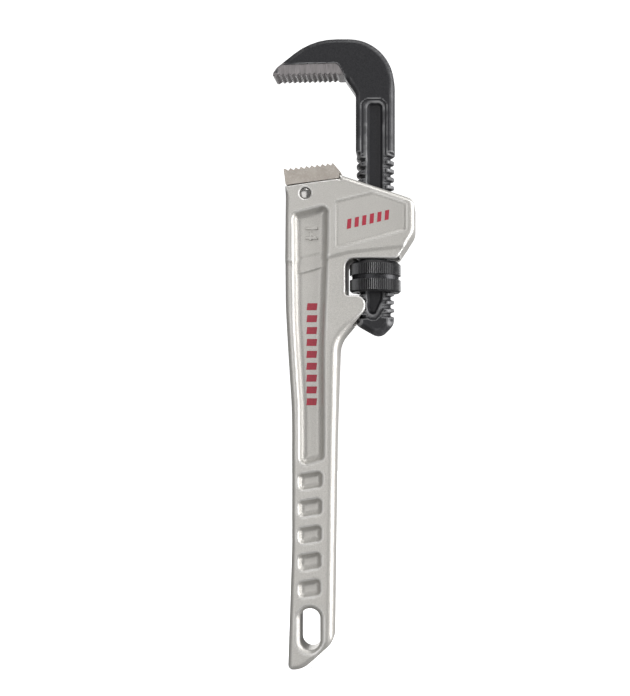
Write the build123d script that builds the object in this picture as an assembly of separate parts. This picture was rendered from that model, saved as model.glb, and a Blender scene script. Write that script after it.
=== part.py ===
"""A 14 inch pipe wrench with an aluminium handle, one STEP file for each piece.

The frame: Z runs up the handle, X points from the handle to the shank of the hook jaw and Y is the
thickness, with Y = 0 the middle plane. The origin is the centre of the hang slot in the handle's end.
"""

from build123d import *
import os
from math import asin, atan, cos, degrees, pi, radians, sin, tan

# ---- driving dimensions, in millimetres ----

# handle and housing, one casting
handle_half = 8.0            # half thickness of the handle
window_half = 12.0           # half thickness beside the nut window
head_half = 13.0             # half thickness of the head
taper_low, taper_high = 108.0, 168.0   # the stretch over which the handle thickens
handle_edge = 2.6            # rounding of the casting's long edges
head_edge = 2.5              # rounding of the head's right end
web_half = 4.2               # half thickness of the web under the long pockets
pocket_deep = 3.8            # depth of the long pocket below the face around it
small_floor_half = 5.2       # half thickness of the web under the small pockets
pocket_draft = 38.0          # slope of the small pockets' walls, in degrees
slot_radius, slot_length = 5.6, 23.2   # hang slot: end radius and overall length

# hook jaw
axis_x = 36.0                # the shank's centre line
shank_half = 10.7            # half the shank's width, and the thread's outer radius
jaw_half = 7.85              # half thickness of the forging
jaw_edge = 3.0               # rounding of the forging's long edges
tooth_pitch, tooth_depth = 2.867, 1.15
tooth_count = 12
first_tooth_x = -19.2
jaw_slope = 1.4              # rise of the row of teeth towards the shank, in degrees
shank_foot = 162.1           # height of the shank's rounded foot

# thread of the shank and the nut, single start, right handed
pitch = 4.6
thread_depth = 2.1
thread_low = 175.6           # height of the lowest groove on the back of the shank
turns = 19                   # grooves above it
thread_play = 0.22           # clearance between the nut's thread and the shank's

# adjusting nut
nut_radius = 14.4
nut_low, nut_high = 187.8, 205.2
knurl_count, knurl_depth = 80, 0.5

# nut window
window_left = 20.1
window_low, window_high = 185.6, 206.1

# heel jaw
heel_half = 12.4
heel_first_x, heel_last_x = -12.9, 13.4
heel_first_z, heel_last_z = 255.2, 258.4
heel_teeth = 10
pin_x, pin_z, pin_radius = -1.8, 241.7, 3.2

# shank passage through the head
passage_left, passage_right = 23.6, 49.3
passage_half = 8.2

# springs of the hook jaw, and the shoes that they push
spring_radius, spring_wire = 3.2, 0.9
front_spring_z, back_spring_z = 228.0, 229.0
shoe_thick = 1.8
shoe_play = 0.12
spring_gap = 0.05            # between a coil spring and what it stands on

rock_allowance = 1.9         # room for the jaw to rock beside the shoes
shoe_half, shoe_tall = 6.0, 7.0
shoe_room_half, shoe_room_tall = 6.6, 8.2
shank_back = axis_x + shank_half
front_seat, back_seat = 13.0, 55.0     # the bottoms of the two spring holes
spring_hole = 3.8            # radius of those holes

rim_wide = 1.0               # sloping rim of the hang slot
tang_half, tang_slot_half = 5.0, 5.3   # half thickness of the heel jaw's tang and of its slot
tang_left, tang_right, tang_foot = -9.5, 7.5, 236.6
tang_room = 1.5              # room around the tang, along X and below it
pin_play = 0.02              # running clearance of the pin in its bore
panel_depth = 0.8            # how deep the panel on the head is let in
recess_depth = 0.5           # the flat recess along the shank
groove_depth, groove_draft = 2.6, 32   # the channel inside that recess
ground_depth = 0.5           # how far the jaw's toothed sides are ground back


# ---- outlines ----

def rounded(corners):
    """A closed face in the XZ plane from its corners, each (x, z, radius)."""
    count = len(corners)
    edges = []
    ends = []
    for i, (x, z, radius) in enumerate(corners):
        before = corners[i - 1]
        after = corners[(i + 1) % count]
        back = Vector(before[0] - x, 0, before[1] - z).normalized()
        ahead = Vector(after[0] - x, 0, after[1] - z).normalized()
        corner = Vector(x, 0, z)
        if radius == 0:
            ends.append((corner, corner))
            continue
        half = radians(back.get_angle(ahead)) / 2
        reach = radius / tan(half)
        inward = (back + ahead).normalized()
        middle = corner + inward * (radius / sin(half) - radius)
        start = corner + back * reach
        end = corner + ahead * reach
        edges.append(ThreePointArc(start, middle, end))
        ends.append((start, end))
    for i in range(count):
        start = ends[i][1]
        end = ends[(i + 1) % count][0]
        if (end - start).length > 1e-6:
            edges.append(Line(start, end))
    return Face(Wire(edges))


def slab(corners, half):
    """A plate of the outline's shape, as thick on one side of the middle plane as on the other."""
    return layer(corners, -half, half)


def layer(corners, low, high):
    """A plate of the outline's shape between two distances from the middle plane."""
    face = rounded(corners).moved(Location((0, low, 0)))
    return extrude(face, amount=high - low, dir=(0, 1, 0))


def both_faces(solid):
    """The solid and its mirror image behind the middle plane."""
    return [solid, mirror(solid, about=Plane.XZ)]


def block(x, y, z):
    """A box from its (low, high) pair on each axis."""
    size = (x[1] - x[0], y[1] - y[0], z[1] - z[0])
    middle = ((x[0] + x[1]) / 2, (y[0] + y[1]) / 2, (z[0] + z[1]) / 2)
    return Pos(*middle) * Box(*size)


def rod_x(radius, low, high, z):
    """A round bar along X at height z."""
    return Pos((low + high) / 2, 0, z) * Rot(0, 90, 0) * Cylinder(radius, high - low)


def rod_y(radius, half, x, z):
    """A round bar along Y through the middle plane."""
    return Pos(x, 0, z) * Rot(90, 0, 0) * Cylinder(radius, 2 * half)


# ---- handle and housing ----

handle_outline = [
    (-12.4, -22.7, 2.9), (-4.3, -22.7, 13), (13.0, -7.6, 10), (14.5, 106, 300), (16.0, 159.7, 15),
    (31.1, 177.9, 5), (31.1, window_low, 5), (window_left, window_low, 1.5),
    (window_left, window_high, 5), (48.8, window_high, 4), (58.4, 220.4, 10), (58.3, 238.6, 5),
    (16.9, 252.3, 0), (16.9, 249.8, 0), (-12.9, 245.6, 0), (-13.3, 201, 400), (-13.1, 180, 200),
    (-10.2, 123, 200), (-10.2, 46, 200),
]
head_outline = [
    (-13.28, 203.5, 0), (6, 205.0, 25), (22, 209.2, 25), (53.5, 212.6, 3), (58.4, 220.4, 10),
    (58.3, 238.6, 5), (16.9, 252.3, 0), (16.9, 249.8, 0), (-12.9, 245.6, 0), (-13.3, 224, 0),
]
long_pocket = [
    (-7.6, 229.4, 2.5), (9.1, 233.7, 2.5), (8.9, 212, 60), (7.0, 158, 200), (6.9, 96.9, 2),
    (-4.6, 93.6, 2), (-4.6, 125, 80), (-7.0, 172, 200),
]
panel_outline = [
    (14.7, 211.3, 1), (53.6, 221.6, 2), (53.6, 235.9, 2), (35, 242.1, 3), (14.7, 237.2, 2),
]
pocket_pitch = 14.98         # spacing of the five small pockets down the handle
pocket_height = 9.6
pocket_top = 86.6
pocket_left, pocket_right = -6.4, 7.6
pocket_rise = 2.2            # how much higher a pocket's right end is than its left
small_pockets = 5
pocket_corner = 3.0


def side_prism(half_profile):
    """A prism along X whose section is the profile (y, z, radius) and its mirror image."""
    front = [(-y, z, radius) for y, z, radius in half_profile]
    face = rounded(front + half_profile[::-1]).rotate(Axis.Z, 90)
    return extrude(face, amount=120, dir=(1, 0, 0), both=True)


def casting_blank():
    """The outer shape: handle, taper and window walls, and the thicker head on top of them."""
    envelope = side_prism([
        (handle_half, -60, 0), (handle_half, taper_low, 150), (window_half, taper_high, 150),
        (window_half, 300, 0),
    ])
    body = slab(handle_outline, head_half) & envelope
    long_edges = [
        edge for edge in body.edges()
        if abs((edge @ 0.5).Y) > handle_half - 0.01
        and not is_window(edge @ 0.5) and (edge @ 0.5).Z < 205
    ]
    body = fillet(long_edges, handle_edge)
    head = slab(head_outline, head_half)
    right_edges = [
        edge for edge in head.edges()
        if abs((edge @ 0.5).Y) > head_half - 0.01 and (edge @ 0.5).X > 50 and (edge @ 0.5).Z > 213
    ]
    head = fillet(right_edges, head_edge)
    return body + head


def is_window(point):
    """Whether a point of the outline belongs to the nut window's walls."""
    return point.X > window_left - 0.1 and window_low - 0.1 < point.Z < window_high + 0.1


def long_pocket_room():
    """The long pocket: shallow steps at the head, then a floor that follows the handle's taper."""
    low_floor, middle_floor = window_half - pocket_deep, window_half - pocket_deep + 0.6
    head_floor = head_half - pocket_deep
    web_side = [
        (0, -60), (-web_half, -60), (-web_half, taper_low), (-low_floor, taper_high),
        (-low_floor, 199), (-middle_floor, 200), (-middle_floor, 207), (-head_floor, 209),
        (-head_floor, 300), (0, 300),
    ]
    web = extrude(make_face(Plane.YZ * Polyline(*web_side, close=True)), amount=60, both=True)
    return layer(long_pocket, -head_half - 1, -web_half) - web


def small_pocket_room(corners):
    """The room of a small pocket on the front face, whose walls slope in down to the web."""
    mouth = rounded(corners).moved(Location((0, -handle_half, 0)))
    depth = handle_half - small_floor_half
    return extrude(mouth, amount=depth, dir=(0, 1, 0), taper=pocket_draft)


def small_pocket_rooms():
    """The five like pockets below the long one."""
    rooms = []
    for i in range(small_pockets):
        top = pocket_top - i * pocket_pitch
        low = top - pocket_height
        right = pocket_right - 0.25 * i
        corners = [
            (pocket_left, low, pocket_corner), (right, low + pocket_rise, pocket_corner),
            (right, top + pocket_rise, pocket_corner), (pocket_left, top, pocket_corner),
        ]
        rooms.append(small_pocket_room(corners))
    return rooms


def handle_housing():
    casting = casting_blank()
    panel = layer(panel_outline, -head_half - 1, -head_half + panel_depth)
    for room in [long_pocket_room(), panel, *small_pocket_rooms()]:
        for side in both_faces(room):
            casting -= side
    slot = SlotOverall(slot_length, 2 * slot_radius, rotation=90)
    casting -= extrude(Plane.XZ * slot, amount=2 * head_half, both=True)
    rim = chamfer_ring(slot_length, slot_radius, rim_wide)
    for side in both_faces(rim):
        casting -= side
    passage = block((passage_left, passage_right), (-passage_half, passage_half), (150, 260))
    casting -= passage
    heel_slot = block(
        (tang_left - tang_room, tang_right + tang_room), (-tang_slot_half, tang_slot_half),
        (tang_foot - tang_room, 260),
    )
    casting -= heel_slot
    casting -= rod_y(pin_radius + pin_play, head_half + 1, pin_x, pin_z)
    front_room = block(
        (passage_left - shoe_thick - rock_allowance, passage_left + 1),
        (-shoe_room_half, shoe_room_half),
        (front_spring_z - shoe_room_tall, front_spring_z + shoe_room_tall),
    )
    back_room = block(
        (passage_right - 1, shank_back + shoe_thick + rock_allowance),
        (-shoe_room_half, shoe_room_half),
        (back_spring_z - shoe_room_tall, back_spring_z + shoe_room_tall),
    )
    casting -= front_room
    casting -= back_room
    casting -= rod_x(spring_hole, front_seat, passage_left + 1, front_spring_z)
    casting -= rod_x(spring_hole, passage_right - 1, back_seat, back_spring_z)
    return casting


def chamfer_ring(length, radius, wide):
    """The sloping rim of the hang slot on the front face."""
    mouth = Plane.XZ * SlotOverall(length + 2 * wide, 2 * (radius + wide), rotation=90)
    mouth = mouth.moved(Location((0, -handle_half, 0)))
    return extrude(mouth, amount=wide, dir=(0, 1, 0), taper=45)


# ---- heel jaw and its pin ----

def heel_jaw():
    """A toothed steel insert, with a tang that the pin holds down in the casting's slot."""
    run = heel_last_x - heel_first_x
    rise = heel_last_z - heel_first_z
    body = slab([
        (-12.6, 246.25, 0.5), (-13.8, heel_first_z - 0.1, 0.4), (heel_first_x, heel_first_z, 0),
        (heel_last_x, heel_last_z, 0.3), (18.1, 252.9, 0.4), (16.75, 252.6, 0.2), (16.75, 250.1, 0.3),
    ], heel_half)
    tang = slab([
        (tang_left, tang_foot, 3), (tang_right, tang_foot, 3), (tang_right, 250, 0), (tang_left, 248, 0),
    ], tang_half)
    body += tang
    spacing = run / (heel_teeth - 1)
    for i in range(heel_teeth - 1):
        x = heel_first_x + i * spacing
        z = heel_first_z + rise * i / (heel_teeth - 1)
        body -= tooth_gap(x, z, spacing, rise / (heel_teeth - 1), -1)
    body -= rod_y(pin_radius + pin_play, heel_half, pin_x, pin_z)
    return body


def tooth_gap(x, z, spacing, rise, side):
    """A notch between two teeth tips: side is -1 below a tip line and +1 above it."""
    half = heel_half + 1
    root_x = x + 0.62 * spacing
    root_z = z + rise / 2 + side * tooth_depth
    over = z - side * 1.0
    points = [
        (x + 0.12, z, 0), (root_x - 0.15, root_z, 0), (root_x + 0.15, root_z, 0),
        (x + spacing - 0.12, z + rise, 0), (x + spacing - 0.12, over, 0), (x + 0.12, over, 0),
    ]
    return slab(points, half)


def heel_jaw_pin():
    """A steel pin with domed ends, a little below the casting's faces."""
    half = head_half - 0.9
    pin = Cylinder(pin_radius, 2 * half)
    ends = [edge for edge in pin.edges() if edge.geom_type == GeomType.CIRCLE]
    pin = fillet(ends, 1.1)
    return Pos(pin_x, 0, pin_z) * Rot(90, 0, 0) * pin


# ---- hook jaw ----

def hook_outline():
    """The forging's outline: the beak, the toothed flat, the throat and the shank."""
    front = axis_x - shank_half
    back = axis_x + shank_half
    nose_x, flat_end_x = -20.5, 18.3
    nose_z = flat_height(nose_x)
    return [
        (nose_x, nose_z, 0), (nose_x, 311.7, 6.5), (1.3, 329, 38), (back, 329, 25),
        (back, 170.5, 9), (38.5, shank_foot, 6), (front, 169.5, 4),
        (front, 298.3, 6), (flat_end_x, flat_height(flat_end_x), 0),
    ]


def flat_height(x):
    """The height of the row of teeth tips at x: it rises a little towards the shank."""
    return 307.8 + tan(radians(jaw_slope)) * (x + 20.5)


def hook_jaw():
    jaw = slab(hook_outline(), jaw_half)
    edges = [
        edge for edge in jaw.edges()
        if abs((edge @ 0.5).Y) > jaw_half - 0.01 and not is_toothed(edge @ 0.5)
    ]
    jaw = thread_cut(fillet(edges, jaw_edge))
    ground = layer([
        (-17.4, 306, 0), (-17.4, 313.9, 3), (15.6, 315.0, 3.5), (18.3, 309.9, 2), (16.6, 306, 0),
    ], -jaw_half - 1, -jaw_half + ground_depth)
    recess = layer([
        (28.6, 176, 4), (28.6, 294.9, 4), (42.5, 294.9, 4), (42.5, 180.5, 8), (36.3, 170.5, 4),
    ], -jaw_half - 1, -jaw_half + recess_depth)
    groove_mouth = rounded([
        (31.2, 178, 6), (31.2, 293.6, 4), (41.0, 293.6, 4), (41.0, 184, 12), (35.4, 171.6, 3),
    ]).moved(Location((0, -jaw_half, 0)))
    groove = extrude(groove_mouth, amount=groove_depth, dir=(0, 1, 0), taper=groove_draft)
    for room in [ground, recess, groove]:
        for side in both_faces(room):
            jaw -= side
    slope = tan(radians(jaw_slope)) * tooth_pitch
    for i in range(tooth_count):
        x = first_tooth_x + i * tooth_pitch
        jaw -= tooth_gap(x, flat_height(x), tooth_pitch, slope, 1)
    return jaw


def is_toothed(point):
    """Whether a point lies on the flat that carries the teeth."""
    return point.Z < 309.5 and point.X < 19


def thread_cut(jaw):
    """Turns the shank's lower part to the thread's outer radius and cuts the grooves."""
    low, high = shank_foot - 1, thread_low + (turns + 0.6) * pitch
    zone = block((axis_x - 20, axis_x + 20), (-12, 12), (low, high))
    core = Pos(axis_x, 0, (low + high) / 2) * Cylinder(shank_half, high - low + 1)
    jaw -= zone - core
    lead = degrees(atan(pitch / (2 * pi) * asin(jaw_half / shank_half) / jaw_half))
    ring = groove_ring()
    right = ring & block((0, 20), (-20, 20), (-5, 5))
    left = ring & block((-20, 0), (-20, 20), (-5, 5))
    for i in range(turns + 1):
        z = thread_low + i * pitch
        jaw -= Pos(axis_x, 0, z) * Rot(lead, 0, 0) * right
        jaw -= Pos(axis_x, 0, z - pitch / 2) * Rot(-lead, 0, 0) * left
    return jaw


def groove_ring():
    """The room of one turn of the thread's groove, as a flat ring about the shank."""
    root = shank_half - thread_depth
    mouth_half, root_half = 1.45, 0.85
    outside = shank_half + 1.5
    widen = (mouth_half - root_half) / thread_depth * (outside - root)
    section = Plane.XZ * Polyline(
        (root, -root_half), (outside, -root_half - widen), (outside, root_half + widen),
        (root, root_half), close=True,
    )
    return revolve(make_face(section), Axis.Z, 360)


# ---- adjusting nut ----

def adjusting_nut():
    height = nut_high - nut_low
    knurl = []
    for i in range(2 * knurl_count):
        angle = pi * i / knurl_count
        radius = nut_radius - (i % 2) * knurl_depth
        knurl.append((radius * cos(angle), radius * sin(angle)))
    body = extrude(make_face(Polyline(*knurl, close=True)), amount=height)
    half_section = [
        (0, 0), (nut_radius - 1.2, 0), (nut_radius + 0.1, 1.2), (nut_radius + 0.1, 6.9),
        (nut_radius - 1.3, 7.2), (nut_radius - 1.3, 9.4), (nut_radius + 0.1, 9.7),
        (nut_radius + 0.1, 15.4), (nut_radius - 2.2, height), (0, height),
    ]
    turned = revolve(make_face(Plane.XZ * Polyline(*half_section, close=True)), Axis.Z, 360)
    body = body & turned
    body -= Pos(0, 0, height / 2) * Cylinder(shank_half + thread_play, height + 2)
    body += inner_thread(height)
    return Pos(axis_x, 0, nut_low) * body


def inner_thread(height):
    """The nut's thread ridge, in mesh with the shank's grooves at rest."""
    root = shank_half + thread_play + 0.6
    tip = shank_half - thread_depth + thread_play
    root_half, tip_half = 1.3, 0.6
    margin = 2.2
    run = height - 2 * margin
    start = nut_low + margin
    path = Helix(pitch, run, tip + 0.5)
    frame = Plane(origin=path @ 0, x_dir=(1, 0, 0), z_dir=(0, 1, 0))
    inside = tip - (tip + 0.5)
    outside = root - (tip + 0.5)
    section = frame * Polyline(
        (inside, -tip_half), (outside, -root_half), (outside, root_half), (inside, tip_half),
        close=True,
    )
    ridge = sweep(make_face(section), path=path, is_frenet=True)
    turn = 360 * ((start - thread_low) / pitch)
    return Pos(0, 0, margin) * Rot(0, 0, turn) * ridge


# ---- the springs that centre the hook jaw, and the shoes that they push on it ----

def coil_spring(low, high, z, coils):
    """A compression spring along X between two faces."""
    radius = spring_radius - spring_wire / 2
    run = high - low - spring_wire - 2 * spring_gap
    start = low + spring_gap + spring_wire / 2
    path = Helix(run / coils, run, radius)
    section = Plane(origin=path @ 0, z_dir=path % 0) * Circle(spring_wire / 2)
    coil = sweep(section, path=path, is_frenet=True)
    return Pos(start, 0, z) * Rot(0, 90, 0) * coil


def spring_shoe(side):
    """A steel shoe between a coil spring and the shank: side is -1 in front of it, 1 behind it."""
    near = shank_half + shoe_play
    far = near + shoe_thick
    z = front_spring_z if side < 0 else back_spring_z
    plate = block((near, far), (-shoe_half, shoe_half), (-shoe_tall, shoe_tall))
    lead_in = [edge for edge in plate.edges().filter_by(Axis.Y) if edge.center().X < near + 0.1]
    plate = chamfer(lead_in, 0.9)
    boss = rod_x(spring_radius - spring_wire - 0.25, far - 0.2, far + 1.6, 0)
    shoe = plate + boss
    if side < 0:
        shoe = Rot(0, 0, 180) * shoe
    return Pos(axis_x, 0, z) * shoe


front_shoe_back = axis_x - shank_half - shoe_play - shoe_thick
back_shoe_back = axis_x + shank_half + shoe_play + shoe_thick

pieces = {
    "handle_housing": handle_housing(),
    "heel_jaw": heel_jaw(),
    "heel_jaw_pin": heel_jaw_pin(),
    "hook_jaw": hook_jaw(),
    "adjusting_nut": adjusting_nut(),
    "front_coil_spring": coil_spring(front_seat, front_shoe_back, front_spring_z, 6),
    "back_coil_spring": coil_spring(back_shoe_back, back_seat, back_spring_z, 4),
    "front_spring_shoe": spring_shoe(-1),
    "back_spring_shoe": spring_shoe(1),
}

os.makedirs("parts", exist_ok=True)
for name, piece in pieces.items():
    export_step(piece, f"parts/{name}.step")
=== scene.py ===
import math
import bpy
import numpy as np
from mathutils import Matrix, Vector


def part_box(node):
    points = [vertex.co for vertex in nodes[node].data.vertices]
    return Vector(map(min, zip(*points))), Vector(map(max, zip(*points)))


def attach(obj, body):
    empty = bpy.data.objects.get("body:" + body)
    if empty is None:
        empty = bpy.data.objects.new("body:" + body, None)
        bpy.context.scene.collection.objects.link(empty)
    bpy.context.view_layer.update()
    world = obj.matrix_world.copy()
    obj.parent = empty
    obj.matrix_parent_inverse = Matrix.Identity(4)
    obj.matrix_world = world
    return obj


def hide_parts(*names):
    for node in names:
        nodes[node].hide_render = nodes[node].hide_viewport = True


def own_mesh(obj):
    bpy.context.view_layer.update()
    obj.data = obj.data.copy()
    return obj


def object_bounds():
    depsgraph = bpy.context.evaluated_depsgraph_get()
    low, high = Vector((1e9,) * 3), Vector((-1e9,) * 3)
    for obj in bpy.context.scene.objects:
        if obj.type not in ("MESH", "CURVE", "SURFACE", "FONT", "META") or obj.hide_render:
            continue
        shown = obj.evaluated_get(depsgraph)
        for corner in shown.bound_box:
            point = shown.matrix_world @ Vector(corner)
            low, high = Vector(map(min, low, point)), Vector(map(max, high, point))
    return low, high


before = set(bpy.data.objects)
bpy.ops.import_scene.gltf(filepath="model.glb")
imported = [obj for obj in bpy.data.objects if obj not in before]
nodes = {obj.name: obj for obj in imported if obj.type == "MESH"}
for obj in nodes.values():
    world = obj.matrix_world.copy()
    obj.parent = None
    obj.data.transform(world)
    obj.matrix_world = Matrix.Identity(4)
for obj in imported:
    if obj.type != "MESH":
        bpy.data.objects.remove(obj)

import openvdb
from mathutils import Matrix, Vector

cad_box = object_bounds()
millimetre = 0.001


# ---------------------------------------------------------------------------------------------
# The handle and housing: one casting of aluminium, an I-beam handle that thickens into a head.
# It is blasted to an even satin grain. Its edges are painted brighter, partly as wear and partly
# as painted highlight. Lengths in this section are in millimetres, across the handle (x), through
# it (y) and up it (z).
# ---------------------------------------------------------------------------------------------

grid_step = 0.45
handle_half, window_half, head_half = 8.0, 12.0, 13.0
pocket_depth = 3.8
panel_depth = 0.8
handle_outline = [
    (-12.4, -22.7, 2.9), (-4.3, -22.7, 13), (13.0, -7.6, 10), (14.5, 106, 300), (16.0, 159.7, 15),
    (31.1, 177.9, 5), (31.1, 185.6, 5), (20.1, 185.6, 1.5), (20.1, 206.1, 5), (48.8, 206.1, 4),
    (58.4, 220.4, 10), (58.3, 238.6, 5), (16.9, 252.3, 0), (16.9, 249.8, 0), (-12.9, 245.6, 0),
    (-13.3, 201, 400), (-13.1, 180, 200), (-10.2, 123, 200), (-10.2, 46, 200),
]
thick_outline = [
    (-40, 202.5, 0), (6, 205.0, 25), (22, 209.2, 25), (53.5, 212.6, 3), (80, 255, 0), (80, 300, 0),
    (-40, 300, 0),
]
long_pocket = [
    (-9.2, 230.6, 3.5), (10.9, 235.8, 3.5), (10.7, 212, 60), (8.6, 158, 200), (8.2, 94.6, 4),
    (-6.3, 90.4, 4), (-6.3, 125, 80), (-8.7, 172, 200),
]
panel_outline = [
    (14.7, 211.3, 1), (53.6, 221.6, 2), (53.6, 235.9, 2), (35, 242.1, 3), (14.7, 237.2, 2),
]
small_pockets, small_pitch, small_rise, small_corner = 5, 14.98, 2.2, 3.0
small_left, small_right, small_top, small_tall = -6.6, 7.3, 86.6, 9.6
small_floor = 5.2
slot_radius, slot_length = 5.6, 23.2
slot_flare = 1.9
pin_x, pin_z, pin_hole = -1.8, 241.7, 3.22
thickening = (102, 174)
passage_span, passage_half, passage_tall = (23.6, 49.3), 8.2, (150, 270)
seat_span, seat_half, seat_tall = (-11, 9), 5.3, (235.1, 270)
shoe_rooms, shoe_room_half = (((19.9, 24.6), (219.8, 236.2)), ((48.3, 50.4), (220.8, 237.2))), 6.6
spring_holes, spring_hole_radius = (((13.0, 24.6), 228), ((48.3, 55.0), 229)), 3.8


def outline_points(corners):
    """The corners (x, z, radius) of a closed outline as points, with an arc at each rounded corner."""
    points = []
    for i, (x, z, radius) in enumerate(corners):
        corner = np.array([x, z], float)
        if radius == 0:
            points.append(corner)
            continue
        back = np.array(corners[i - 1][:2]) - corner
        ahead = np.array(corners[(i + 1) % len(corners)][:2]) - corner
        back, ahead = back / np.linalg.norm(back), ahead / np.linalg.norm(ahead)
        half = math.acos(np.clip(back @ ahead, -1, 1)) / 2
        inward = (back + ahead) / np.linalg.norm(back + ahead)
        centre = corner + inward * radius / math.sin(half)
        start = corner + back * radius / math.tan(half) - centre
        end = corner + ahead * radius / math.tan(half) - centre
        turn = math.atan2(start[0] * end[1] - start[1] * end[0], start @ end)
        steps = max(2, int(abs(turn) / 0.12))
        for angle in np.linspace(0, turn, steps + 1):
            c, s = math.cos(angle), math.sin(angle)
            points.append(centre + (c * start[0] - s * start[1], s * start[0] + c * start[1]))
    return np.array(points)


def outline_distance(corners, x, z):
    """The distance from an outline, negative inside it, at each point of a plane."""
    points = outline_points(corners)
    nearest = np.full(np.broadcast(x, z).shape, 1e9)
    inside = np.zeros(nearest.shape, bool)
    for (ax, az), (bx, bz) in zip(points, np.roll(points, -1, axis=0)):
        ex, ez = bx - ax, bz - az
        along = np.clip(((x - ax) * ex + (z - az) * ez) / (ex * ex + ez * ez + 1e-12), 0, 1)
        nearest = np.minimum(nearest, (x - ax - along * ex) ** 2 + (z - az - along * ez) ** 2)
        crosses = (az > z) != (bz > z)
        inside ^= crosses & (x < ex * (z - az) / (ez if ez else 1e-12) + ax)
    return np.where(inside, -1, 1) * np.sqrt(nearest)


def rounded_common(a, b, radius):
    """The room that two shapes share, with its edge rounded."""
    corner = np.sqrt(np.maximum(a + radius, 0) ** 2 + np.maximum(b + radius, 0) ** 2)
    return np.minimum(-radius, np.maximum(a, b)) + corner


def smooth_step(value, low, high):
    """A soft change from 0 to 1 between two values."""
    t = np.clip((value - low) / (high - low), 0, 1)
    return t * t * (3 - 2 * t)


def casting_half(z):
    """Half the thickness of the handle and housing at height z."""
    return handle_half + (window_half - handle_half) * smooth_step(z, *thickening)


def pocket_floor(x, z):
    """How far the long pocket's floor lies from the middle plane, with its two low steps."""
    first = smooth_step(z - 0.3 * x, 198.3, 199.9)
    second = smooth_step(z - 0.23 * x, 206.7, 208.7)
    return casting_half(z) - pocket_depth + 0.6 * first + 0.4 * second


def box_distance(x, y, z, x_span, y_half, z_span):
    """The distance from a box that is centred on the middle plane."""
    dx = np.maximum(x_span[0] - x, x - x_span[1])
    dz = np.maximum(z_span[0] - z, z - z_span[1])
    return np.maximum(np.maximum(dx, dz), np.abs(y) - y_half)


def sloping_room(mouth, depth_below, draft, floor_distance, corner):
    """The room of a pocket whose walls lean in by the draft angle as they go down to its floor."""
    lean = math.radians(draft)
    wall = (mouth + depth_below * math.tan(lean)) * math.cos(lean)
    return rounded_common(wall, floor_distance, corner)


def surface_mesh(name, field, corner, step):
    """A smooth mesh of the surface where a field of distances is zero."""
    volume = openvdb.FloatGrid(float(field.max()))
    volume.copyFromArray(np.ascontiguousarray(field, dtype=np.float32))
    points, triangles, quads = volume.convertToPolygons(isovalue=0.0, adaptivity=0.0)
    places = (np.array(corner) + points * step) * millimetre
    faces = [tuple(reversed(f)) for f in quads.tolist()]
    faces += [tuple(reversed(f)) for f in triangles.tolist()]
    mesh = bpy.data.meshes.new(name)
    mesh.from_pydata(places.tolist(), [], faces)
    mesh.update()
    corners_of = np.array([f[:3] for f in faces])
    a, b, c = (places[corners_of[:, k]] for k in range(3))
    if np.einsum("ij,ij->i", a, np.cross(b, c)).sum() < 0:
        mesh.flip_normals()
    # Curvature is stored on the mesh. The finishes use it to paint edges lighter, partly as wear and
    # partly as painted highlight.
    curve = sum(np.gradient(np.gradient(field, step, axis=k), step, axis=k) for k in range(3))
    cells = np.clip(np.rint(points).astype(int), 0, np.array(field.shape) - 1)
    curvature_layer = mesh.attributes.new("edge_curvature", "FLOAT", "POINT")
    curvature_layer.data.foreach_set("value", curve[cells[:, 0], cells[:, 1], cells[:, 2]].astype(np.float32))
    mesh.shade_smooth()
    return mesh


def add_piece(name, mesh, body, finish):
    """Puts a mesh in the scene as a piece that rides on a body and has a finish."""
    piece = bpy.data.objects.new(name, mesh)
    bpy.context.scene.collection.objects.link(piece)
    piece.data.materials.append(finish)
    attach(piece, body)
    return piece


def casting_field(x, y, z):
    """The casting as a field of distances, negative inside the metal."""
    flat_x, flat_z = x[:, 0, :], z[0, :, :]
    plane = lambda corners: outline_distance(corners, flat_x, flat_z)[:, None, :]
    depth = np.abs(y)
    near_seat = smooth_step(z, 240, 246) * (1 - smooth_step(x, 15, 19))
    near_window = smooth_step(x, 15, 21) * smooth_step(z, 168, 176) * (1 - smooth_step(z, 212, 216))
    on_handle = smooth_step(x, 2, 8) * (1 - smooth_step(z, 165, 180))
    edge = 3.0 + 1.4 * on_handle - 2.3 * near_seat - 1.9 * near_window * (1 - near_seat)
    edge = np.where(z > 215, np.maximum(edge, 2.8 - 2.1 * near_seat), edge)
    face = casting_half(z)
    face = face + (head_half - face) * smooth_step(-plane(thick_outline), -1.6, 1.6)
    metal = rounded_common(plane(handle_outline), depth - face, edge)
    rooms = [(sloping_room(plane(long_pocket), face - depth, 35, pocket_floor(x, z) - depth, 1.8), 1.0)]
    for i in range(small_pockets):
        top, right = small_top - i * small_pitch, small_right - 0.25 * i
        low = top - small_tall
        mouth = plane([
            (small_left, low, small_corner), (right, low + small_rise, small_corner),
            (right, top + small_rise, small_corner), (small_left, top, small_corner),
        ])
        rooms.append((sloping_room(mouth, handle_half - depth, 38, small_floor - depth, 1.2), 0.7))
    panel_floor = head_half - panel_depth - depth
    panel_wall = sloping_room(plane(panel_outline), head_half - depth, 50, panel_floor, 0.5)
    rooms.append((panel_wall, 0.6))
    straight = slot_length / 2 - slot_radius
    slot = np.hypot(x, np.maximum(np.abs(z) - straight, 0)) - slot_radius
    rooms.append(((slot - np.maximum(depth - handle_half + slot_flare, 0)) * 0.8, 0.8))
    rooms.append((np.hypot(x - pin_x, z - pin_z) - pin_hole, 0.4))
    rooms.append((box_distance(x, y, z, passage_span, passage_half, passage_tall), 0.4))
    rooms.append((box_distance(x, y, z, seat_span, seat_half, seat_tall), 0.3))
    for x_span, z_span in shoe_rooms:
        rooms.append((box_distance(x, y, z, x_span, shoe_room_half, z_span), 0.2))
    for x_span, height in spring_holes:
        along = np.maximum(x_span[0] - x, x - x_span[1])
        rooms.append((np.maximum(np.hypot(y, z - height) - spring_hole_radius, along), 0.2))
    for room, rim in rooms:
        metal = rounded_common(metal, -room, rim)
    return metal


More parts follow.
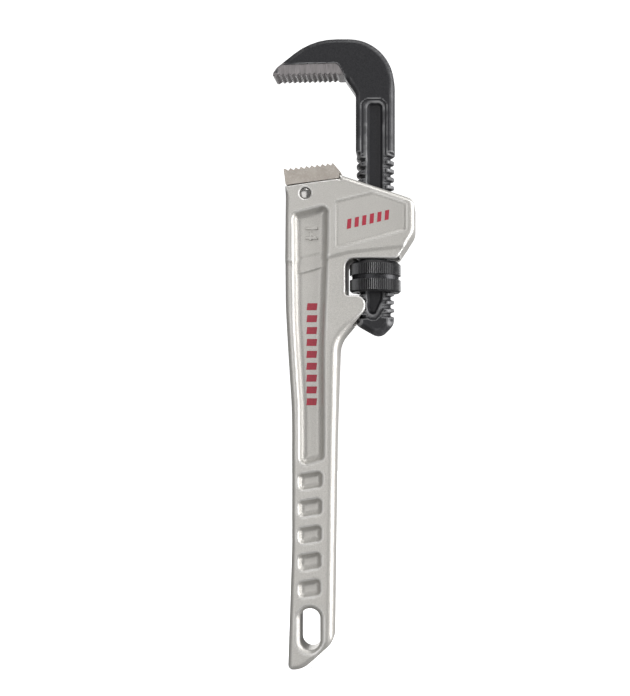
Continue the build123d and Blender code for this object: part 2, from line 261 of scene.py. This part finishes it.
housing_low, housing_high = [np.array(c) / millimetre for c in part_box("handle_housing")]
margin = 2
counts = np.ceil((housing_high - housing_low) / grid_step).astype(int) + 2 * margin
first = housing_low - margin * grid_step
x_line, y_line, z_line = (first[k] + grid_step * np.arange(counts[k]) for k in range(3))
field = casting_field(
    x_line[:, None, None].astype(np.float32), y_line[None, :, None].astype(np.float32),
    z_line[None, None, :].astype(np.float32),
)
casting_mesh = surface_mesh("casting", field, first, grid_step)


class Finish:
    """A procedural finish: a shader, and the nodes that feed it, placed by the piece's own frame."""

    def __init__(self, name):
        self.material = bpy.data.materials.new(name)
        self.material.use_nodes = True
        self.tree = self.material.node_tree
        self.shader = self.tree.nodes["Principled BSDF"]
        self.place = self.tree.nodes.new("ShaderNodeTexCoord").outputs["Object"]

    def node(self, kind, **values):
        made = self.tree.nodes.new(kind)
        for key, value in values.items():
            setattr(made, key, value)
        return made

    def link(self, source, target):
        self.tree.links.new(source, target)

    def noise(self, scale, detail=3.0, rough=0.55, stretch=(1, 1, 1)):
        """A cloudy pattern; scale is how many grains there are in a metre."""
        mapping = self.node("ShaderNodeMapping")
        mapping.inputs["Scale"].default_value = stretch
        self.link(self.place, mapping.inputs["Vector"])
        made = self.node("ShaderNodeTexNoise")
        made.inputs["Scale"].default_value = scale
        made.inputs["Detail"].default_value = detail
        made.inputs["Roughness"].default_value = rough
        self.link(mapping.outputs["Vector"], made.inputs["Vector"])
        return made.outputs["Fac"]

    def spread(self, value, from_low, from_high, to_low, to_high):
        made = self.node("ShaderNodeMapRange")
        made.inputs["From Min"].default_value = from_low
        made.inputs["From Max"].default_value = from_high
        made.inputs["To Min"].default_value = to_low
        made.inputs["To Max"].default_value = to_high
        self.link(value, made.inputs["Value"])
        return made.outputs["Result"]

    def blend(self, amount, first_colour, second_colour):
        """Mixes two colours, each a colour or another node's output."""
        made = self.node("ShaderNodeMix", data_type="RGBA")
        self.link(amount, made.inputs["Factor"])
        for socket, colour in ((made.inputs[6], first_colour), (made.inputs[7], second_colour)):
            if isinstance(colour, tuple):
                socket.default_value = (*colour, 1)
            else:
                self.link(colour, socket)
        return made.outputs[2]

    def sum(self, a, b, operation="ADD"):
        made = self.node("ShaderNodeMath", operation=operation)
        for socket, value in ((made.inputs[0], a), (made.inputs[1], b)):
            if isinstance(value, (int, float)):
                socket.default_value = value
            else:
                self.link(value, socket)
        return made.outputs[0]

    def scuffed_edges_and_highlights(self, low, high):
        """1 on sharp outer edges and 0 elsewhere: the mask for edge wear and painted edge highlight."""
        curvature_layer = self.node("ShaderNodeAttribute", attribute_name="edge_curvature")
        return self.spread(curvature_layer.outputs["Fac"], low, high, 0, 1)

    def bump(self, height, strength, distance):
        made = self.node("ShaderNodeBump")
        made.inputs["Strength"].default_value = strength
        made.inputs["Distance"].default_value = distance
        self.link(height, made.inputs["Height"])
        self.link(made.outputs["Normal"], self.shader.inputs["Normal"])

    def colour(self, source):
        self.link(source, self.shader.inputs["Base Color"])

    def roughness(self, source):
        self.link(source, self.shader.inputs["Roughness"])

    def metal(self, amount):
        self.shader.inputs["Metallic"].default_value = amount


aluminium = Finish("cast_aluminium")
aluminium.metal(0.6)
grain, cloud = aluminium.noise(2300, 4, 0.7), aluminium.noise(60, 3)
grey = aluminium.blend(
    aluminium.spread(grain, 0.35, 0.65, 0, 1), (0.40, 0.388, 0.365), (0.58, 0.565, 0.535)
)
clouded = aluminium.blend(aluminium.spread(cloud, 0.3, 0.7, 0, 0.25), grey, (0.43, 0.415, 0.39))
# The lighter colour on the edges is partly wear and partly painted highlight, where light catches the
# rounded edges.
aluminium.colour(aluminium.blend(aluminium.scuffed_edges_and_highlights(0.25, 1.1), clouded, (0.72, 0.71, 0.69)))
aluminium.roughness(aluminium.spread(grain, 0.3, 0.7, 0.36, 0.52))
aluminium.bump(grain, 0.5, 0.00012)

casting = add_piece("handle_casting", casting_mesh, "handle", aluminium.material)
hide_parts("handle_housing")


# ---------------------------------------------------------------------------------------------
# The size number, cast in raised figures on the floor of the long pocket, and so of the same
# aluminium. It reads down the handle.
# ---------------------------------------------------------------------------------------------

number_x, number_z = 1.0, 220.5
number_curve = bpy.data.curves.new("size_number", "FONT")
number_curve.body = "14"
number_curve.size = 8.8 * millimetre
number_curve.extrude = 0.55 * millimetre
number_curve.bevel_depth = 0.35 * millimetre
number_curve.bevel_resolution = 2
number_curve.align_x = "CENTER"
number_curve.align_y = "CENTER"
number_maker = bpy.data.objects.new("number_maker", number_curve)
number_mesh = bpy.data.meshes.new_from_object(number_maker)
number_floor = float(pocket_floor(number_x, number_z)) * millimetre
number_mesh.transform(Matrix((
    (0, 1, 0, number_x * millimetre), (0, 0, -1, -number_floor), (-1, 0, 0, number_z * millimetre),
    (0, 0, 0, 1),
)))
bpy.data.objects.remove(number_maker)
number_mesh.materials.clear()
add_piece("size_number", number_mesh, "handle", aluminium.material)


# ---------------------------------------------------------------------------------------------
# Plain red dashes, printed in thick paint on the floor of the long pocket and on the head's
# panel. The paint stands a little proud and has a soft, slightly uneven gloss.
# ---------------------------------------------------------------------------------------------

paint_thick = 0.12
paint_root = 0.2


def printed_dashes(name, places, wide, tall, direction, lean, height_at):
    """A row of leaning dashes that follow the surface at height_at(x, z) from the middle plane."""
    steps = 6
    verts, faces = [], []
    along = Vector((math.cos(direction), math.sin(direction)))
    across = Vector((-along.y, along.x))
    for middle in places:
        base = len(verts)
        for lift in (paint_thick, -paint_root):
            for i in range(steps + 1):
                for j in range(steps + 1):
                    u, v = (i / steps - 0.5) * wide, (j / steps - 0.5) * tall
                    spot = Vector(middle) + along * (u + lean * v) + across * v
                    surface = float(height_at(spot.x, spot.y))
                    verts.append((spot.x, -surface - lift, spot.y))
        side = steps + 1
        top = lambda i, j: base + i * side + j
        under = lambda i, j: base + side * side + i * side + j
        for i in range(steps):
            for j in range(steps):
                faces.append((top(i, j), top(i + 1, j), top(i + 1, j + 1), top(i, j + 1)))
                faces.append((under(i, j), under(i, j + 1), under(i + 1, j + 1), under(i + 1, j)))
            for j, turn in ((0, 1), (steps, -1)):
                faces.append((top(i, j), under(i, j), under(i + 1, j), top(i + 1, j))[::turn])
                faces.append((top(j, i + 1), under(j, i + 1), under(j, i), top(j, i))[::turn])
    mesh = bpy.data.meshes.new(name)
    mesh.from_pydata([tuple(millimetre * value for value in v) for v in verts], [], faces)
    mesh.update()
    return mesh


red_paint = Finish("red_paint")
red_flow = red_paint.noise(900, 3)
red = red_paint.blend(
    red_paint.spread(red_flow, 0.3, 0.7, 0, 1), (0.33, 0.012, 0.03), (0.44, 0.02, 0.05)
)
red_paint.colour(red)
red_paint.roughness(red_paint.spread(red_flow, 0.3, 0.7, 0.34, 0.48))
red_paint.bump(red_flow, 0.25, 0.00006)

dash_pitch = 6.6
handle_dashes = [(1.1 - 0.012 * (i - 4) * dash_pitch, 179.5 - dash_pitch * i) for i in range(9)]
panel_dashes = [(22.4 + 4.15 * i, 224.9 + 0.96 * i) for i in range(6)]
add_piece(
    "pocket_dashes", printed_dashes("pocket_dashes", handle_dashes, 5.6, 3.9, 0.0, 0.12, pocket_floor),
    "handle", red_paint.material,
)
add_piece(
    "panel_dashes",
    printed_dashes("panel_dashes", panel_dashes, 2.3, 5.2, math.radians(13), 0.3,
                   lambda x, z: head_half - panel_depth),
    "handle", red_paint.material,
)


# ---------------------------------------------------------------------------------------------
# The heel jaw: a toothed insert of hardened steel, left a warm satin grey by its heat treatment.
# A polished steel pin holds its tang in the head.
# ---------------------------------------------------------------------------------------------

jaw_steel = Finish("jaw_steel")
jaw_steel.metal(0.5)
strokes, tint = jaw_steel.noise(900, 3, 0.6, (1, 0.12, 1)), jaw_steel.noise(170, 3)
warm = jaw_steel.blend(
    jaw_steel.spread(tint, 0.3, 0.7, 0, 1), (0.33, 0.295, 0.26), (0.43, 0.395, 0.355)
)
jaw_steel.colour(jaw_steel.blend(jaw_steel.spread(strokes, 0.5, 0.8, 0, 0.5), warm, (0.62, 0.59, 0.56)))
jaw_steel.roughness(jaw_steel.spread(strokes, 0.3, 0.7, 0.32, 0.5))
jaw_steel.bump(strokes, 0.35, 0.0001)

pin_steel = Finish("pin_steel")
pin_steel.metal(1.0)
turning = pin_steel.noise(1600, 2, 0.5, (1, 0.3, 1))
turned = pin_steel.blend(
    pin_steel.spread(turning, 0.3, 0.7, 0, 1), (0.34, 0.33, 0.32), (0.46, 0.45, 0.44)
)
pin_steel.colour(turned)
pin_steel.roughness(pin_steel.spread(turning, 0.3, 0.7, 0.16, 0.28))
pin_steel.bump(turning, 0.2, 0.00005)


def finish_node(node, finish):
    """Gives a finish to a piece that keeps the shape it was designed with."""
    for holder in nodes[node].material_slots:
        holder.material = finish.material


finish_node("heel_jaw", jaw_steel)

pin_radius, pin_edge_y, pin_dome = 3.2, 11.5, 1.2
pin_turns, dome_steps = 64, 10
pin_profile = []
for end in (-1, 1):
    for i in range(dome_steps + 1):
        slope = math.pi / 2 * (i if end < 0 else dome_steps - i) / dome_steps
        pin_profile.append((pin_radius * math.sin(slope), end * (pin_edge_y + pin_dome * math.cos(slope))))
pin_points = []
for i in range(pin_turns):
    angle = 2 * math.pi * i / pin_turns
    for radius, y in pin_profile[1:-1]:
        pin_points.append((pin_x + radius * math.cos(angle), y, pin_z + radius * math.sin(angle)))
row = len(pin_profile) - 2
pin_points += [(pin_x, pin_profile[0][1], pin_z), (pin_x, pin_profile[-1][1], pin_z)]
front_tip, back_tip = pin_turns * row, pin_turns * row + 1
pin_faces = []
for i in range(pin_turns):
    here, there = i * row, (i + 1) % pin_turns * row
    pin_faces.append((front_tip, here, there))
    pin_faces.append((back_tip, there + row - 1, here + row - 1))
    pin_faces += [(here + k, here + k + 1, there + k + 1, there + k) for k in range(row - 1)]
pin_mesh = bpy.data.meshes.new("jaw_pin")
pin_mesh.from_pydata([tuple(millimetre * value for value in point) for point in pin_points], [], pin_faces)
pin_mesh.shade_smooth()
jaw_pin = add_piece("jaw_pin", pin_mesh, "handle", pin_steel.material)
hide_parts("heel_jaw_pin")


# ---------------------------------------------------------------------------------------------
# Two coil springs and the shoes that they push against the hook jaw's shank. The springs are
# drawn wire, oiled; the shoes are pressed from the same dark spring steel.
# ---------------------------------------------------------------------------------------------

spring_steel = Finish("spring_steel")
spring_steel.metal(0.9)
drawn, oil = spring_steel.noise(2400, 2), spring_steel.noise(260, 3)
dark = spring_steel.blend(spring_steel.spread(oil, 0.3, 0.7, 0, 1), (0.20, 0.19, 0.19), (0.33, 0.32, 0.31))
spring_steel.colour(dark)
spring_steel.roughness(spring_steel.spread(oil, 0.3, 0.7, 0.24, 0.42))
spring_steel.bump(drawn, 0.25, 0.00004)
for node in ("front_coil_spring", "front_spring_shoe", "back_spring_shoe"):
    finish_node(node, spring_steel)

# The back coil's wire gets a mesh of its own that rides on the handle, in its designed shape.
# The front coil would have to lengthen as the jaw rocks back, so it stays rigid.
low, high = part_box("back_coil_spring")
wire = nodes["back_coil_spring"].data.copy()
wire.materials.clear()
coil = add_piece("back_coil_spring_wire", wire, "handle", spring_steel.material)
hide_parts("back_coil_spring")
middle = (float(high[0]), 0, float(low[2] + high[2]) / 2)
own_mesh(coil)


# ---------------------------------------------------------------------------------------------
# The hook jaw: a steel forging with rounded edges, under a matte black oxide. Its shank is
# turned to a coarse right-handed thread, and the jaw is ground to bare steel beside its teeth.
# ---------------------------------------------------------------------------------------------

hook_step = 0.36
nose_x, teeth_line = -20.5, 307.8
face_recess, channel_depth = 0.5, 2.6
recess_edge, brow_edge, throat_edge = (0.00742, 0.00750), (0.3150, 0.3153), (0.0183, 0.0189)
mouth_edge, tooth_top_edge = (0.3060, 0.3064), (0.3094, 0.3096)
jaw_half, jaw_slope = 7.85, math.radians(1.4)
shank_x, shank_radius = 36.0, 10.7
tooth_pitch, tooth_depth, first_tooth, last_tooth = 2.867, 1.15, -19.2, 15.2
thread_pitch, thread_depth, thread_start, thread_end = 4.6, 2.1, 175.6, 263.0
hook_outline = [
    (nose_x, 306.4, 0), (nose_x, 311.7, 6.5), (1.3, 329, 38), (46.7, 329, 25),
    (46.7, 170.5, 9), (38.5, 162.1, 6), (25.3, 169.5, 4), (25.3, 298.3, 6), (18.3, 308.75, 0),
    (17.5, 306.4, 0),
]
ground_outline = [
    (-17.4, 303, 0), (-17.4, 313.9, 3), (15.6, 315.0, 3.5), (18.3, 309.9, 2), (16.6, 303, 0),
]
recess_outline = [
    (28.6, 176, 4), (28.6, 294.9, 4), (42.5, 294.9, 4), (42.5, 180.5, 8), (36.3, 170.5, 4),
]
channel_outline = [
    (31.2, 178, 5), (31.2, 293.6, 3.5), (41.0, 293.6, 3.5), (41.0, 184, 10), (35.4, 171.6, 3),
]


def hook_field(x, y, z):
    """The hook jaw as a field of distances, with its teeth and the thread of its shank."""
    flat_x, flat_z = x[:, 0, :], z[0, :, :]
    plane = lambda corners: outline_distance(corners, flat_x, flat_z)[:, None, :]
    depth = np.abs(y)
    near_teeth = (1 - smooth_step(z, 308.5, 312)) * (1 - smooth_step(x, 17, 22))
    near_foot = 1 - smooth_step(z, 168, 182)
    edge = 3.1 - 2.7 * near_teeth + 1.3 * near_foot
    jaw = rounded_common(plane(hook_outline), depth - jaw_half, edge)
    line = teeth_line + math.tan(jaw_slope) * (x - nose_x)
    phase = np.mod((x - first_tooth) / tooth_pitch, 1)
    notch = np.where(phase < 0.62, phase / 0.62, (1 - phase) / 0.38) * tooth_depth
    toothed = (x > first_tooth) & (x < last_tooth)
    teeth = (line + np.where(toothed, notch, 0) - z) * 0.72
    jaw = np.where(x < 19.0, np.maximum(jaw, teeth), jaw)
    radius = np.hypot(x - shank_x, y)
    threaded = z < thread_end + 0.6 * thread_pitch
    jaw = np.where(threaded, rounded_common(jaw, radius - shank_radius, 0.4), jaw)
    turn = np.arctan2(y, x - shank_x) / (2 * math.pi)
    along = (z - thread_start) / thread_pitch - turn
    from_groove = np.abs(along - np.rint(along)) * thread_pitch
    root = shank_radius - thread_depth
    groove = np.maximum(root - radius, (from_groove - 0.85 - 0.29 * (radius - root)) * 0.96)
    run_out = np.maximum(thread_start - 2.6 - z, z - thread_end - 1.6)
    jaw = rounded_common(jaw, -np.maximum(groove, run_out), 0.45)
    ground = rounded_common(plane(ground_outline), jaw_half - face_recess - depth, 0.15)
    jaw = rounded_common(jaw, -ground, 0.15)
    recess = rounded_common(plane(recess_outline), jaw_half - face_recess - depth, 0.3)
    jaw = rounded_common(jaw, -recess, 0.35)
    channel_floor = jaw_half - channel_depth - depth
    channel = sloping_room(plane(channel_outline), jaw_half - depth, 32, channel_floor, 0.7)
    return rounded_common(jaw, -channel, 0.5)


hook_low, hook_high = [np.array(c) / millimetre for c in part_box("hook_jaw")]
hook_counts = np.ceil((hook_high - hook_low) / hook_step).astype(int) + 2 * margin
hook_first = hook_low - margin * hook_step
hook_x, hook_y, hook_z = (hook_first[k] + hook_step * np.arange(hook_counts[k]) for k in range(3))
hook_metal = hook_field(
    hook_x[:, None, None].astype(np.float32), hook_y[None, :, None].astype(np.float32),
    hook_z[None, None, :].astype(np.float32),
)
hook_mesh = surface_mesh("hook_forging", hook_metal, hook_first, hook_step)

black_forging = Finish("black_forging")
black_forging.metal(0.15)
black_forging.shader.inputs["Specular IOR Level"].default_value = 0.35
scale_grain, patches = black_forging.noise(1500, 4, 0.65), black_forging.noise(120, 3)
black = black_forging.blend(
    black_forging.spread(scale_grain, 0.35, 0.7, 0, 1), (0.010, 0.010, 0.012), (0.026, 0.026, 0.029)
)
# Lighter grey on the edges, in patches: partly wear and partly painted highlight, where light catches the
# rounded edges and the shank's border.
edge_patches = black_forging.spread(patches, 0.4, 0.6, 0.3, 1)
scuff_and_highlight = black_forging.sum(black_forging.scuffed_edges_and_highlights(0.2, 0.8), edge_patches, "MULTIPLY")
black = black_forging.blend(scuff_and_highlight, black, (0.20, 0.20, 0.205))
parts = black_forging.node("ShaderNodeSeparateXYZ")
black_forging.link(black_forging.place, parts.inputs["Vector"])
beside = black_forging.sum(parts.outputs["Y"], 0.0, "ABSOLUTE")
in_recess = black_forging.spread(beside, *recess_edge, 1, 0)
under_brow = black_forging.spread(parts.outputs["Z"], *brow_edge, 1, 0)
before_throat = black_forging.spread(parts.outputs["X"], *throat_edge, 1, 0)
above_mouth = black_forging.spread(parts.outputs["Z"], *mouth_edge, 0, 1)
ground = black_forging.sum(black_forging.sum(in_recess, under_brow, "MULTIPLY"), before_throat, "MULTIPLY")
ground = black_forging.sum(ground, above_mouth, "MULTIPLY")
among_teeth = black_forging.spread(parts.outputs["Z"], *tooth_top_edge, 1, 0)
on_teeth = black_forging.sum(among_teeth, before_throat, "MULTIPLY")
ground = black_forging.sum(ground, black_forging.sum(on_teeth, above_mouth, "MULTIPLY"), "MAXIMUM")
wheel_marks = black_forging.noise(1300, 3, 0.6, (1, 1, 0.1))
bare = black_forging.blend(
    black_forging.spread(wheel_marks, 0.3, 0.7, 0, 1), (0.17, 0.158, 0.16), (0.27, 0.252, 0.255)
)
black_forging.colour(black_forging.blend(ground, black, bare))
black_forging.roughness(black_forging.spread(scale_grain, 0.3, 0.7, 0.34, 0.58))
black_forging.bump(scale_grain, 0.45, 0.00014)
hook = add_piece("hook_forging", hook_mesh, "hook_jaw", black_forging.material)
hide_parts("hook_jaw")


# ---------------------------------------------------------------------------------------------
# The adjusting nut: turned and knurled from steel bar and blacked. Thumbs have rubbed the
# knurl's points back to a dull shine.
# ---------------------------------------------------------------------------------------------

black_nut = Finish("black_nut")
black_nut.metal(0.6)
mottle = black_nut.noise(700, 3)
from_axis = black_nut.node("ShaderNodeVectorMath", operation="SUBTRACT")
nut_low, nut_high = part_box("adjusting_nut")
axis_x = (nut_low[0] + nut_high[0]) / 2
from_axis.inputs[1].default_value = (axis_x, 0, 0)
black_nut.link(black_nut.place, from_axis.inputs[0])
flat = black_nut.node("ShaderNodeVectorMath", operation="MULTIPLY")
flat.inputs[1].default_value = (1, 1, 0)
black_nut.link(from_axis.outputs["Vector"], flat.inputs[0])
radius = black_nut.node("ShaderNodeVectorMath", operation="LENGTH")
black_nut.link(flat.outputs["Vector"], radius.inputs[0])
knurl_tips = black_nut.spread(radius.outputs["Value"], 0.01410, 0.01438, 0, 0.7)
oxide = black_nut.blend(
    black_nut.spread(mottle, 0.3, 0.7, 0, 1), (0.016, 0.016, 0.018), (0.045, 0.045, 0.048)
)
black_nut.colour(black_nut.blend(knurl_tips, oxide, (0.17, 0.17, 0.17)))
black_nut.roughness(black_nut.spread(mottle, 0.3, 0.7, 0.28, 0.46))
black_nut.bump(mottle, 0.3, 0.00008)
finish_node("adjusting_nut", black_nut)


# ---------------------------------------------------------------------------------------------
# The studio: a white room whose floor curves up all round the wrench, a large key light on its
# right, and softer light from the front, from above and from behind.
# ---------------------------------------------------------------------------------------------

floor_z = cad_box[0][2] - 0.0006
room_radius, room_bend, room_tall, room_sides, bend_steps = 2.6, 0.8, 4.0, 64, 24
profile = [(0.001, floor_z), (room_radius - room_bend, floor_z)]
for i in range(1, bend_steps + 1):
    angle = math.pi / 2 * i / bend_steps
    profile.append((
        room_radius - room_bend + room_bend * math.sin(angle),
        floor_z + room_bend * (1 - math.cos(angle)),
    ))
profile.append((room_radius, room_tall))
sweep_points = []
for i in range(room_sides):
    angle = 2 * math.pi * i / room_sides
    sweep_points += [(r * math.cos(angle), r * math.sin(angle), z) for r, z in profile]
tall = len(profile)
sweep_faces = []
for i in range(room_sides):
    here, there = i * tall, (i + 1) % room_sides * tall
    sweep_faces += [(here + k, there + k, there + k + 1, here + k + 1) for k in range(tall - 1)]
sweep_mesh = bpy.data.meshes.new("studio_sweep")
sweep_mesh.from_pydata(sweep_points, [], sweep_faces)
sweep_mesh.shade_smooth()
white_paper = Finish("white_paper")
paper = white_paper.noise(40, 2)
white = white_paper.blend(
    white_paper.spread(paper, 0.3, 0.7, 0, 1), (0.90, 0.90, 0.90), (0.92, 0.92, 0.92)
)
white_paper.colour(white)
white_paper.shader.inputs["Roughness"].default_value = 0.9
white_paper.shader.inputs["Emission Color"].default_value = (1, 1, 1, 1)
white_paper.shader.inputs["Emission Strength"].default_value = 0.9
sweep_mesh.materials.append(white_paper.material)
sweep = bpy.data.objects.new("studio_sweep", sweep_mesh)
bpy.context.scene.collection.objects.link(sweep)
sweep.visible_diffuse = False
sweep.visible_glossy = False
sweep.visible_shadow = False

world = bpy.data.worlds.new("studio_air")
world.use_nodes = True
world.node_tree.nodes["Background"].inputs["Color"].default_value = (1, 1, 1, 1)
world.node_tree.nodes["Background"].inputs["Strength"].default_value = 0.26
bpy.context.scene.world = world
bpy.context.scene.view_settings.view_transform = "Standard"

middle = (Vector(cad_box[0]) + Vector(cad_box[1])) / 2


def soft_light(name, place, wide, tall, watts):
    """A rectangular soft box that faces the middle of the wrench."""
    lamp = bpy.data.lights.new(name, "AREA")
    lamp.shape = "RECTANGLE"
    lamp.size, lamp.size_y = wide, tall
    lamp.energy = watts
    holder = bpy.data.objects.new(name, lamp)
    holder.location = place
    holder.rotation_euler = (middle - Vector(place)).to_track_quat("-Z", "Y").to_euler()
    bpy.context.scene.collection.objects.link(holder)


soft_light("key_light", (0.80, -0.13, 0.22), 0.5, 1.2, 14)
soft_light("fill_light", (-0.40, -1.1, 0.10), 0.9, 1.3, 5.8)
soft_light("back_light", (-0.45, 1.1, 0.30), 0.9, 1.2, 7)
soft_light("top_light", (0.15, -0.35, 0.95), 0.6, 0.3, 3)

camera_data = bpy.data.cameras.new("camera")
camera_data.lens = 50
camera_data.shift_x, camera_data.shift_y = -0.184, 0.0575
camera = bpy.data.objects.new("camera", camera_data)
camera.location = (0.0741, -0.5446, 0.1344)
camera.rotation_euler = (math.pi / 2, 0, 0)
bpy.context.scene.collection.objects.link(camera)
bpy.context.scene.camera = camera
